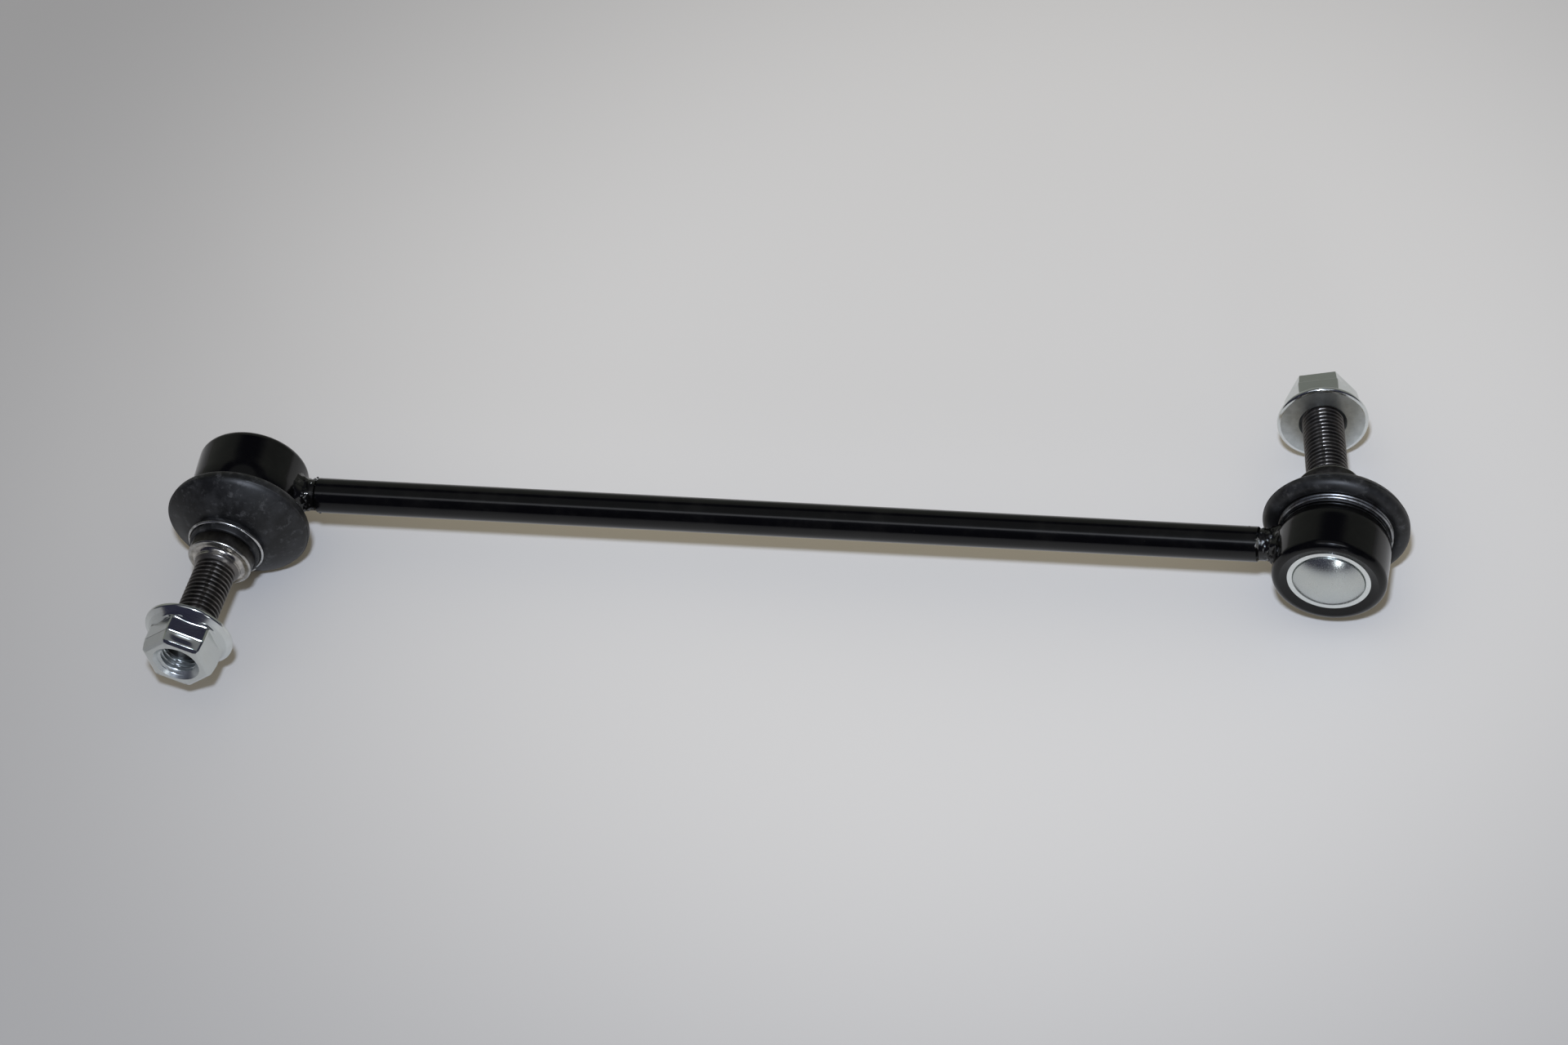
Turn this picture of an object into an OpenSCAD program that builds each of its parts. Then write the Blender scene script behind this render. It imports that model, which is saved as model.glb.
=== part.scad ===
// Stabilizer link: a straight rod with a ball joint at each end, studs pointing opposite ways.
// X runs along the rod, Y along the joint housings, Z up. The origin is the middle of the rod's axis.
// Each joint is built in its own frame: ball centre at the origin, stud along +Y, rod towards -X.

/* [Rod] */
// Distance between the two ball centres, along the rod
centre_distance = 314; // [220:1:420]
// Offset of the left joint from the rod's axis, towards its stud
left_joint_offset = 3; // [0:0.2:4]
// Offset of the right joint from the rod's axis, towards its stud
right_joint_offset = 0; // [0:0.2:4]
// Diameter of the rod
rod_d = 10; // [9:0.5:13]
// Diameter of the turned down spigot at each rod end
spigot_d = 8; // [6:0.2:8.2]
// Free length of the spigot between the housing and the rod's chamfer
spigot_len = 3.8; // [3:0.2:7]
// Length of the chamfer at each rod end
rod_chamfer = 1.2; // [0.6:0.1:2]
// Leg of the weld bead round the spigot
weld_leg = 1.8; // [1:0.1:2.6]
// Distance that the weld keeps from the boot's groove
weld_from_groove = 0.3; // [0.2:0.1:0.4]

/* [Ball and seat] */
// Diameter of the ball
ball_d = 20; // [18:0.5:22]
// Gap between the ball and its seat
ball_clearance = 0.04; // [0.02:0.01:0.08]
// Thickness of the seat round the ball's equator
seat_wall = 3.1; // [2.4:0.1:4]
// Thickness of the seat under the ball
seat_floor = 0.7; // [0.6:0.1:1.6]
// Reach of the seat past the ball's centre, towards the stud
seat_rise = 4.6; // [4:0.2:5.2]
// Gap between the seat and the housing
seat_clearance = 0.05; // [0.02:0.01:0.1]

/* [Housing] */
// Thickness of the housing's wall
housing_wall = 3; // [2.4:0.1:4]
// Width of the ledge that carries the cover's rim
cover_ledge = 1; // [0.6:0.1:1.4]
// Thickness of the lip rolled over the cover
lip_t = 0.8; // [0.6:0.1:1.4]
// Outer rounding of the rolled lip
lip_round = 2.2; // [0.8:0.1:2.4]
// Radius of the shoulder that draws the wall in towards the boot
shoulder_r = 14; // [12:0.5:20]
// Place of the shoulder's start, behind the ball's centre
shoulder_start = 1; // [0:0.2:3]
// Diameter of the mouth that the stud comes out of
mouth_d = 22.4; // [21:0.2:22.8]
// Length of the nose past the seat
nose_len = 3.6; // [3.4:0.1:4.6]
// Wall of the nose under the boot groove
nose_wall = 1.8; // [1.4:0.1:2]
// Height of the flange that keeps the boot in its groove
nose_flange = 0.9; // [0.5:0.1:1.1]
// Thickness of that flange
nose_flange_t = 1; // [0.6:0.1:1.2]
// Width of the boot groove
groove_w = 2.8; // [2.6:0.1:3]

/* [Cover] */
// Thickness of the cover
cover_t = 1.2; // [1:0.1:2]
// Diameter of the cover left open by the rolled lip
cover_view_d = 23.4; // [22:0.2:24.4]
// Diameter of the raised crown
crown_d = 20; // [16:0.2:21]
// Height of the crown's edge
crown_step = 0.4; // [0.3:0.1:1]
// Rise of the crown's middle above its edge
crown_rise = 3.4; // [0.5:0.1:4.5]
// Width of the groove round the crown
crown_groove = 0.35; // [0.2:0.05:0.5]

/* [Ball stud] */
// Diameter of the neck above the ball
neck_d = 10.5; // [9.6:0.1:11]
// Length of the neck, from the ball's centre
neck_len = 11; // [10:0.2:11.2]
// Start of the boot's seat on the stud, from the ball's centre
stud_seat_at = 15.6; // [15.4:0.2:20]
// Diameter of the boot's seat on the stud
stud_seat_d = 17; // [15:0.2:17.6]
// Width of the boot's seat on the stud
stud_seat_w = 4.2; // [3.4:0.1:5]
// Diameter of the collar that the bar or arm is clamped against
collar_d = 18.8; // [18.2:0.2:22]
// Thickness of the collar
collar_t = 4.1; // [3:0.1:6]
// Edge break of the collar
collar_bevel = 0.5; // [0.2:0.1:0.8]
// Diameter of the turned relief in front of the collar
relief_d = 13.4; // [12.4:0.1:15]
// Length of the relief
relief_len = 2; // [1:0.1:3]
// Length of the run out from the relief to the thread
thread_runout = 0.8; // [0.4:0.1:1.5]
// Outer diameter of the M12 thread
thread_d = 11.9; // [11.7:0.01:11.97]
// Pitch of the thread
thread_pitch = 1.5; // [1.25:0.25:1.75]
// Depth of the thread
thread_depth = 0.9; // [0.7:0.05:1]
// Length of the thread
thread_len = 28.9; // [25.5:0.1:40]
// Length of the chamfer at the stud's tip
tip_chamfer = 1.2; // [0.6:0.1:1.6]
// Slope of that chamfer, from the stud's axis
tip_slope = 40; // [30:1:45]

/* [Boot and its rings] */
// Largest diameter of the boot
boot_d = 41.2; // [37:0.2:46]
// Thickness of the boot
boot_wall = 1.6; // [1.2:0.1:1.8]
// Share of the boot's overhang past its bead that the rim's rounding takes
rim_share = 0.48; // [0.4:0.01:0.48]
// Height of the rim's middle above the foot of the boot's skirt
rim_rise = 1; // [0.8:0.1:2]
// Fullness of the boot's dome between its rim and its mouth
dome_fullness = 0.6; // [0.3:0.05:0.65]
// Gap beside the boot's bead, its mouth and the housing's nose
bead_gap = 0.2; // [0.2:0.05:0.4]
// Thickness of the bead in the housing's groove
bead_t = 2.2; // [1.8:0.1:2.4]
// Thickness of the boot's mouth on the stud
boot_mouth_t = 1.8; // [1.4:0.1:2.2]
// Gap round the boot where it grips the housing and the stud
boot_clearance = 0.1; // [0.08:0.01:0.15]
// Wire of the clamp ring on the housing
clamp_wire_d = 1; // [0.8:0.1:1]
// Wire of the lip ring on the stud
lip_wire_d = 0.9; // [0.6:0.1:1]
// Turns of wire in the clamp ring
clamp_turns = 2; // [1:1:2]
// Turns of wire in the lip ring
lip_turns = 1; // [1:1:2]
// Gap between a wire ring and the boot
ring_clearance = 0.05; // [0.02:0.01:0.1]

/* [Flange nut] */
// Width across the nut's flats
nut_flats = 19; // [18:0.5:21]
// Height of the nut
nut_h = 12; // [10:0.5:14]
// Diameter of the nut's flange
nut_flange_d = 26; // [25:0.5:30]
// Thickness of the flange's rim
nut_rim_t = 1.2; // [0.8:0.1:1.6]
// Bevel between the bearing face and the rim
nut_bevel = 1; // [0.5:0.1:1.4]
// Height at which the flange's cone runs into the hexagon
nut_cone_h = 3.2; // [2.4:0.1:4.5]
// Inset of the outer face's chamfer from the flats
nut_face_inset = 0.9; // [0.1:0.1:1.4]
// Height of the locking band at the nut's outer end
nut_band_h = 4.4; // [4:0.1:6]
// Inset of the locking band's flats
nut_band_in = 0.15; // [0.05:0.05:0.3]
// Gap between the thread and the nut's bore
nut_clearance = 0.05; // [0.03:0.01:0.1]
// Width of the countersink at each end of the bore
nut_countersink = 0.9; // [0.4:0.1:1.2]
// Number of flats with a locking dent pressed into them
dents = 3; // [2, 3, 6]
// Depth of a locking dent
dent_depth = 0.5; // [0.35:0.05:0.7]
// Radius of the tool that presses the dents
dent_r = 6; // [4:0.5:8]
// Height of a dent
dent_h = 2.2; // [1.6:0.1:2.4]
// Distance of a dent's middle from the nut's outer face
dent_from_face = 2.4; // [2.2:0.1:2.6]

/* [Pose at rest] */
// Swing of the left stud about Z
left_swing = -6.3; // [-15:0.1:15]
// Dip of the left stud below level
left_dip = 1.3; // [-15:0.1:15]
// Swing of the right stud about Z
right_swing = 10; // [-15:0.1:15]
// Dip of the right stud below level
right_dip = 5; // [-15:0.1:15]
// Place of the left nut's bearing face, in turns from the start of the thread
left_nut_turns = 15; // [1:0.5:16]
// Place of the right nut's bearing face, in turns from the start of the thread
right_nut_turns = 16; // [1:0.5:16]
// Turn of the left nut about its stud
left_nut_turn = 40; // [0:1:120]
// Turn of the right nut about its stud
right_nut_turn = 116; // [0:1:120]

/* [Hidden] */
$fn = 96;
tiny = 0.01;
arc_steps = 10;
LEFT = 0;
RIGHT = 1;

joint_offset = [left_joint_offset, right_joint_offset];
swing = [left_swing, right_swing];
dip = [left_dip, right_dip];
nut_turns = [left_nut_turns, right_nut_turns];
nut_turn = [left_nut_turn, right_nut_turn];

// Radii and stations of the joint, from the ball outwards; stations are measured along the stud
ball_r = ball_d / 2;
socket_r = ball_r + ball_clearance;
seat_r = socket_r + seat_wall;
bore_r = seat_r + seat_clearance;
housing_r = bore_r + housing_wall;
seat_back = -socket_r - seat_floor;
cover_inner = seat_back - seat_clearance;
cover_face = cover_inner - cover_t;
cover_r = bore_r + cover_ledge;
cover_view_r = cover_view_d / 2;
lip_face = cover_face - lip_t;
seat_stop = seat_rise + seat_clearance;
nose_end = seat_stop + nose_len;
mouth_r = mouth_d / 2;
groove_r = mouth_r + nose_wall;
groove_top = nose_end - nose_flange_t;
groove_bottom = groove_top - groove_w;
crown_r = crown_d / 2;

// Stations of the stud
neck_r = neck_d / 2;
stud_seat_r = stud_seat_d / 2;
collar_r = collar_d / 2;
collar_back = stud_seat_at + stud_seat_w;
collar_face = collar_back + collar_t;
relief_end = collar_face + relief_len;
thread_start = relief_end + thread_runout;
stud_tip = thread_start + thread_len;
thread_r = thread_d / 2;
thread_root_r = thread_r - thread_depth;
thread_flank = thread_pitch * 5 / 16;
thread_root_w = thread_pitch / 4;
thread_grooves = floor((thread_len - tip_chamfer) / thread_pitch);
tip_r = thread_r - tip_chamfer * tan(tip_slope);

// The boot's bead, skirt, rim and mouth
bead_in_r = groove_r + boot_clearance;
bead_out_r = groove_r + bead_t;
bead_bottom = groove_bottom + bead_gap / 2;
bead_top = groove_top - bead_gap / 2;
skirt_bottom = groove_top + bead_gap;
nose_cover_r = groove_r + nose_flange + bead_gap;
boot_r = boot_d / 2;
rim_r = rim_share * (boot_r - bead_out_r);
inner_rim_r = max(rim_r - boot_wall, rim_r / 4);
rim_centre = [boot_r - rim_r, skirt_bottom + rim_rise];
rim_from = -130;
rim_to = 50;
boot_mouth_in = stud_seat_r + boot_clearance;
boot_mouth_out = stud_seat_r + boot_mouth_t;
boot_mouth_low = stud_seat_at + bead_gap / 2;
boot_mouth_high = collar_back - bead_gap / 2;
boot_segments = 40;

// The wire rings
clamp_ring_r = bead_out_r + ring_clearance + clamp_wire_d / 2;
clamp_ring_at = bead_bottom + clamp_wire_d * clamp_turns / 2;
lip_ring_r = boot_mouth_out + ring_clearance + lip_wire_d / 2;
lip_ring_at = (boot_mouth_low + boot_mouth_high) / 2;
wire_lay = 0.95;

// The flange nut
nut_bore_r = thread_r + nut_clearance;
nut_corner_r = nut_flats / sqrt(3);
nut_flange_r = nut_flange_d / 2;
nut_top_r = nut_flats / 2 - nut_face_inset;
dent_at = nut_h - dent_from_face - dent_h / 2;

// Points of an arc about a centre, from one angle to another
function arc(centre, radius, from, to, steps = arc_steps) =
    [for (i = [0 : steps]) let (a = from + (to - from) * i / steps)
        [centre[0] + radius * cos(a), centre[1] + radius * sin(a)]];

// Turns a point of a revolved shape from its own axis into the end's frame, swung and dipped
function posed(p, swing_by, dip_by) =
    let (
        x = p[0] * cos(swing_by) - p[2] * sin(swing_by),
        y = p[0] * sin(swing_by) + p[2] * cos(swing_by),
        z = -p[1]
    )
    [x, y * cos(dip_by) + z * sin(dip_by), z * cos(dip_by) - y * sin(dip_by)];

// Places one end of the link; the left end is the right one turned half round
module at_end(end) {
    rotate([0, 0, end == LEFT ? 180 : 0])
        translate([centre_distance / 2, 0, 0])
            children();
}

// Moves a piece of a joint off the rod's axis
module off_axis(end) {
    translate([0, joint_offset[end], 0]) children();
}

// Places a piece of one ball joint
module at_joint(end) {
    at_end(end) off_axis(end) children();
}

// Lays a shape revolved about Z along the housing's axis
module along_housing() {
    rotate([-90, 0, 0]) children();
}

// Lays a shape revolved about Z along the stud at rest
module along_stud(end) {
    rotate([-dip[end], 0, 0])
        rotate([0, 0, swing[end]])
            rotate([-90, 0, 0])
                children();
}

// Outline of the housing's outside, from the cover's edge to the end of the nose
function housing_outside() =
    let (draw_in = groove_bottom + shoulder_start)
    concat(
        [[cover_view_r, cover_face], [housing_r - lip_round, lip_face]],
        arc([housing_r - lip_round, lip_face + lip_round], lip_round, -90, 0),
        arc([housing_r - shoulder_r, -shoulder_start], shoulder_r, 0, asin(draw_in / shoulder_r)),
        [
            [groove_r, groove_bottom],
            [groove_r, groove_top],
            [groove_r + nose_flange, groove_top],
            [groove_r + nose_flange, nose_end - nose_flange_t / 2],
            [groove_r + nose_flange / 2, nose_end]
        ]
    );

// The housing as a plug with nothing bored out of it, which the rod end and the weld are cut against
module housing_plug() {
    along_housing()
        rotate_extrude()
            polygon(concat([[0, cover_face]], housing_outside(), [[0, nose_end]]));
}

module housing(end) {
    color([0.06, 0.06, 0.065])
        at_joint(end)
            along_housing()
                rotate_extrude()
                    polygon(concat(
                        housing_outside(),
                        [
                            [mouth_r, nose_end],
                            [mouth_r, seat_stop],
                            [bore_r, seat_stop + mouth_r - bore_r],
                            [bore_r, cover_inner],
                            [cover_r + seat_clearance, cover_inner],
                            [cover_r + seat_clearance, cover_face]
                        ]
                    ));
}

// One bar, chamfered to a spigot at each end and cut to sit on the round of the housings
module link_rod() {
    full_end = centre_distance / 2 - housing_r - spigot_len - rod_chamfer;
    color([0.06, 0.06, 0.065])
        difference() {
            union() {
                rotate([0, 90, 0])
                    cylinder(d = rod_d, h = 2 * full_end, center = true);
                for (end = [LEFT, RIGHT])
                    rotate([0, 0, end == LEFT ? 180 : 0])
                        translate([full_end, 0, 0])
                            rotate([0, 90, 0]) {
                                cylinder(d1 = rod_d, d2 = spigot_d, h = rod_chamfer);
                                cylinder(d = spigot_d, h = rod_chamfer + spigot_len + housing_wall);
                            }
            }
            for (end = [LEFT, RIGHT])
                at_joint(end) housing_plug();
        }
}

// A hollow fillet between the spigot and the housing, with a thin skirt up to the rod's chamfer.
// It is dressed flat where it would run under the boot.
module weld(end) {
    spigot_r = spigot_d / 2;
    wall_x = -housing_r;
    skirt = (rod_d - spigot_d) / 8;
    color([0.10, 0.10, 0.10])
        at_end(end)
            difference() {
                rotate([0, 90, 0])
                    rotate_extrude()
                        polygon(concat(
                            [
                                [spigot_r, wall_x - spigot_len],
                                [spigot_r + skirt, wall_x - spigot_len],
                                [spigot_r + skirt, wall_x - weld_leg]
                            ],
                            arc([spigot_r + skirt + weld_leg, wall_x - weld_leg], weld_leg, 180, 90),
                            [[spigot_r + skirt + weld_leg, wall_x + housing_wall],
                             [spigot_r, wall_x + housing_wall]]
                        ));
                off_axis(end) {
                    housing_plug();
                    along_housing()
                        translate([0, 0, groove_bottom - weld_from_groove])
                            cylinder(r = housing_r + spigot_len + rod_chamfer, h = 2 * weld_leg + rod_d);
                }
            }
}

// A moulded cup that wraps the ball past its equator, its top bevelled to the cone in the housing
module seat(end) {
    bevel = mouth_r + seat_stop - sqrt(2) * seat_clearance;
    color([0.85, 0.85, 0.82])
        at_joint(end)
            along_housing()
                rotate_extrude()
                    difference() {
                        polygon([
                            [0, seat_back],
                            [seat_r, seat_back],
                            [seat_r, bevel - seat_r],
                            [bevel - seat_rise, seat_rise],
                            [0, seat_rise]
                        ]);
                        circle(r = socket_r);
                    }
}

// A plated disc with a domed middle, stepped up out of a fine groove
module cover(end) {
    crown_top = cover_face - crown_step - crown_rise;
    crown_ball = (crown_r * crown_r + crown_rise * crown_rise) / (2 * crown_rise);
    color([0.80, 0.82, 0.80])
        at_joint(end)
            along_housing()
                union() {
                    rotate_extrude()
                        polygon([
                            [0, cover_inner],
                            [cover_r, cover_inner],
                            [cover_r, cover_face],
                            [crown_r + crown_groove, cover_face],
                            [crown_r, cover_face + crown_groove],
                            [0, cover_face + crown_groove]
                        ]);
                    rotate_extrude()
                        intersection() {
                            translate([0, crown_top + crown_ball]) circle(r = crown_ball);
                            translate([0, crown_top])
                                square([crown_r, cover_inner - cover_t / 4 - crown_top]);
                        }
                }
}

// Outline of the thread: closed grooves at its pitch, with flat crests and roots
function thread_outline() =
    [for (i = [0 : thread_grooves - 1]) let (w = thread_start + i * thread_pitch)
        each [
            [thread_r, w],
            [thread_root_r, w + thread_flank],
            [thread_root_r, w + thread_flank + thread_root_w],
            [thread_r, w + 2 * thread_flank + thread_root_w]
        ]];

// Ball, neck, boot seat, collar, relief and shank turned from one forging
module ball_stud(end) {
    rise = stud_seat_r - neck_r;
    run = stud_seat_at - neck_len;
    flare_r = (rise * rise + run * run) / (2 * rise);
    color([0.30, 0.28, 0.26])
        at_joint(end) {
            sphere(r = ball_r);
            along_stud(end)
                rotate_extrude()
                    polygon(concat(
                        [[0, 0], [neck_r, 0]],
                        arc([neck_r + flare_r, neck_len], flare_r, 180, 180 - asin(run / flare_r)),
                        [
                            [stud_seat_r, collar_back],
                            [collar_r, collar_back],
                            [collar_r, collar_face - collar_bevel],
                            [collar_r - collar_bevel, collar_face],
                            [relief_d / 2, collar_face],
                            [relief_d / 2, relief_end]
                        ],
                        thread_outline(),
                        [
                            [thread_r, stud_tip - tip_chamfer],
                            [tip_r, stud_tip],
                            [0, stud_tip]
                        ]
                    ));
        }
}

// Points of the boot's dome, bowed out from the end of the rim's round to the mouth
function dome(rim, mouth, steps) =
    let (bow = rim + dome_fullness * (rim[0] - mouth[0]) * [-1, 1 / tan(rim_to)])
    [for (i = [1 : steps]) let (t = i / steps)
        (1 - t) * (1 - t) * rim + 2 * t * (1 - t) * bow + t * t * mouth];

// Outline of the boot's section: up the outside from the bead to the mouth, and back down the inside
function boot_section() =
    let (
        toward_dome = [cos(rim_to), sin(rim_to)],
        inner_mouth = [boot_mouth_in, boot_mouth_low - boot_wall],
        inner_dome = dome(rim_centre + inner_rim_r * toward_dome, inner_mouth, 6)
    )
    concat(
        [[bead_in_r, bead_bottom], [bead_out_r, bead_bottom], [bead_out_r, skirt_bottom]],
        arc(rim_centre, rim_r, rim_from, rim_to),
        dome(rim_centre + rim_r * toward_dome, [boot_mouth_out, boot_mouth_low], 8),
        [[boot_mouth_out, boot_mouth_high], [boot_mouth_in, boot_mouth_high]],
        [for (i = [len(inner_dome) - 1 : -1 : 0]) inner_dome[i]],
        arc(rim_centre, inner_rim_r, rim_to, rim_from, 6),
        [[nose_cover_r, skirt_bottom + boot_wall], [nose_cover_r, bead_top], [bead_in_r, bead_top]]
    );

// Share of the stud's tilt that the boot has taken up at a station
function boot_share(station) =
    let (t = min(1, max(0, (station - skirt_bottom) / (boot_mouth_low - boot_wall - skirt_bottom))))
    t * t * (3 - 2 * t);

// A lofted rubber sleeve: its bead stays square to the housing and its mouth to the stud
module boot(end) {
    section = boot_section();
    rows = len(section);
    points = [for (s = section, j = [0 : boot_segments - 1])
        let (a = 360 * j / boot_segments, share = boot_share(s[1]))
        posed([s[0] * cos(a), s[0] * sin(a), s[1]], share * swing[end], share * dip[end])];
    faces = [for (i = [0 : rows - 1], j = [0 : boot_segments - 1])
        let (
            a = i * boot_segments,
            b = (i + 1) % rows * boot_segments,
            k = (j + 1) % boot_segments
        )
        each [[a + j, b + j, b + k], [a + j, b + k, a + k]]];
    color([0.13, 0.13, 0.14])
        at_joint(end)
            polyhedron(points, faces);
}

// Turns of round wire lying side by side
module wire_ring(radius, station, wire_d, turns) {
    translate([0, 0, station])
        rotate_extrude()
            for (i = [0 : turns - 1])
                translate([radius, (i - (turns - 1) / 2) * wire_lay * wire_d])
                    circle(d = wire_d, $fn = 32);
}

module boot_clamp_ring(end) {
    color([0.55, 0.56, 0.57])
        at_joint(end)
            along_housing()
                wire_ring(clamp_ring_r, clamp_ring_at, clamp_wire_d, clamp_turns);
}

module boot_lip_ring(end) {
    color([0.55, 0.56, 0.57])
        at_joint(end)
            along_stud(end)
                wire_ring(lip_ring_r, lip_ring_at, lip_wire_d, lip_turns);
}

// Hexagon chamfered at its outer face, standing on a conical flange
module nut_blank() {
    chamfer_h = (nut_corner_r - nut_top_r) * tan(30);
    intersection() {
        union() {
            cylinder(r = nut_corner_r, h = nut_h - nut_band_h, $fn = 6);
            cylinder(r = nut_corner_r - nut_band_in * 2 / sqrt(3), h = nut_h, $fn = 6);
        }
        rotate_extrude()
            polygon([
                [0, 0],
                [nut_corner_r + tiny, 0],
                [nut_corner_r + tiny, nut_h - chamfer_h],
                [nut_top_r, nut_h],
                [0, nut_h]
            ]);
    }
    rotate_extrude()
        polygon([
            [0, 0],
            [nut_flange_r - nut_bevel, 0],
            [nut_flange_r, nut_bevel / 3],
            [nut_flange_r, nut_rim_t],
            [nut_flats / 2, nut_cone_h],
            [0, nut_cone_h]
        ]);
}

// Conical mouth of the bore, at the outer face or at the bearing face
module countersink() {
    translate([0, 0, -tiny])
        cylinder(r1 = nut_bore_r + nut_countersink + tiny, r2 = nut_bore_r, h = nut_countersink + tiny);
}

module flange_nut(end) {
    color([0.78, 0.80, 0.78])
        at_joint(end)
            along_stud(end)
                translate([0, 0, thread_start + nut_turns[end] * thread_pitch])
                    rotate(nut_turn[end])
                        difference() {
                            nut_blank();
                            translate([0, 0, -1])
                                cylinder(r = nut_bore_r, h = nut_h + 2);
                            countersink();
                            translate([0, 0, nut_h]) mirror([0, 0, 1]) countersink();
                            for (i = [1 : dents])
                                rotate(360 / dents * i - 30)
                                    translate([nut_flats / 2 + dent_r - dent_depth, 0, dent_at])
                                        cylinder(r = dent_r, h = dent_h);
                        }
}

link_rod();
housing(LEFT);  // left_housing
housing(RIGHT);  // right_housing
weld(LEFT);  // left_weld
weld(RIGHT);  // right_weld
seat(LEFT);  // left_seat
seat(RIGHT);  // right_seat
cover(LEFT);  // left_cover
cover(RIGHT);  // right_cover
ball_stud(LEFT);  // left_ball_stud
ball_stud(RIGHT);  // right_ball_stud
boot(LEFT);  // left_boot
boot(RIGHT);  // right_boot
boot_clamp_ring(LEFT);  // left_boot_clamp_ring
boot_clamp_ring(RIGHT);  // right_boot_clamp_ring
boot_lip_ring(LEFT);  // left_boot_lip_ring
boot_lip_ring(RIGHT);  // right_boot_lip_ring
flange_nut(LEFT);  // left_flange_nut
flange_nut(RIGHT);  // right_flange_nut
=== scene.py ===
import math
import random

import bmesh
import bpy
from mathutils import Matrix, Vector, noise


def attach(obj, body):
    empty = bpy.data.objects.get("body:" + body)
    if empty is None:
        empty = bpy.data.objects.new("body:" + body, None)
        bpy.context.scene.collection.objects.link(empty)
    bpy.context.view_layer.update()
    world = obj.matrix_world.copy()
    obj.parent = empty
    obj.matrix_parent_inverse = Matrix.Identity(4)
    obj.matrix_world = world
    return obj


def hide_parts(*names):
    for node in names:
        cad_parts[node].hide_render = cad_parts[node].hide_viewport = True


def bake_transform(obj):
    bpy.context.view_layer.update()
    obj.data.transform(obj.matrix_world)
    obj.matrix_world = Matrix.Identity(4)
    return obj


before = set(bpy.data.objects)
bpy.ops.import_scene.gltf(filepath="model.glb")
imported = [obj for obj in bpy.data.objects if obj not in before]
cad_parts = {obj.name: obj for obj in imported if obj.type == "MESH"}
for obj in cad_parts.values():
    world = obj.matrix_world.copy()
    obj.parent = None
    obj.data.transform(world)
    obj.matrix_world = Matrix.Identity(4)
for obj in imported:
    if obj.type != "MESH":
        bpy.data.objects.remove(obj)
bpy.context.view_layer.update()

# Sizes of the link from the part's source, rounded: millimetres and degrees
MM = 0.001
HALF_LENGTH = 157.0
BALL_R = 10.0
NECK_R, NECK_LEN = 5.25, 11.0
BOOT_SEAT_AT, BOOT_SEAT_R = 15.6, 8.5
COLLAR_BACK, COLLAR_FACE, COLLAR_R, COLLAR_EDGE = 19.8, 23.9, 9.4, 0.5
RELIEF_R, RELIEF_END = 6.7, 25.9
THREAD_START, STUD_TIP, THREAD_R = 26.7, 55.6, 5.95
TIP_CHAMFER, TIP_R = 1.2, 4.94
PITCH, THREAD_DEPTH = 1.5, 0.9
HOUSING_R, SHOULDER_R, SHOULDER_START = 16.19, 14.0, 1.0
GROOVE_R, GROOVE_BOTTOM, GROOVE_TOP = 13.0, 4.45, 7.25
BEAD_R, CLAMP_RING_R, CLAMP_RING_AT, CLAMP_WIRE_D = 15.2, 15.75, 5.55, 1.0
BOOT_FOOT, BOOT_WALL, BOOT_PLAY, BOOT_NOSE_R, DOME_FULLNESS = 7.45, 1.6, 0.1, 14.1, 0.6
RIM_CENTRE, RIM_R, RIM_FROM, RIM_TO = Vector((18.0, 8.45)), 2.6, -130, 50
MOUTH_LOW, MOUTH_HIGH, MOUTH_R = 15.7, 19.7, 10.3
LIP_RING_R, LIP_RING_AT, LIP_WIRE_D = 10.8, 17.7, 0.9
SPIGOT_R, SPIGOT_LEN, ROD_R = 4.0, 3.8, 5.0
WELD_LEG, WELD_ROOM = 1.8, 0.3
NUT_H, NUT_BORE_R, NUT_SINK = 12.0, 6.0, 0.9
NUT_FLAT_R, NUT_CORNER_R, NUT_FLANGE_R, NUT_RIM = 9.5, 10.97, 13.0, 1.2

# What only the scene has, or shapes further: millimetres, degrees, counts and shares
FLOOR_Z = -20.8
BARE_SPOT = Vector((137.2, -3.0, 3.9)) * MM
BALL_TO, NECK_START, COLLAR_BREAK, COLLAR_FILLET = 58, 8.9, 0.2, 1.3
STUD_COLUMNS, STUD_STEPS = 96, 12
NUT_COLUMNS, NUT_STEPS, NUT_THREAD_GAP, NUT_LAND = 192, 16, 0.14, 0.3
NUT_CONE_H, NUT_FOOT, NUT_FILLET, NUT_FACE_R = 3.6, 2.9, 0.8, 9.3
NUT_BAND_AT, NUT_BAND_IN, NUT_BAND_STEP, NUT_BAND_TAPER, NUT_EDGE = 7.9, 0.05, 0.12, 0.15, 0.75
DENT_AT, DENT_DEPTH, DENT_HALF_W, DENT_HALF_H = 9.8, 0.12, 3.3, 1.2
BOOT_COLUMNS, MOUTH_RELIEF, RIM_FLASH, FLASH_H = 128, 1.3, 14, 0.12
BOOT_MEET, BOOT_MEET_SHARE = 0.12, 0.66
DIP_BEND, DIP_BEND_SHARE, SWING_BEND = (7.5, 10.6), 0.4, (11.6, 14.3)
CLAMP_TURNS, LIP_TURNS, WIRE_START = 1.9, 1.1, 100
WELD_SKIRT, WELD_LUMPS, WELD_RIPPLES, WELD_SINK, SPATTER_DROPS = 0.55, 1.1, 0.45, 0.25, 9

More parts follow.
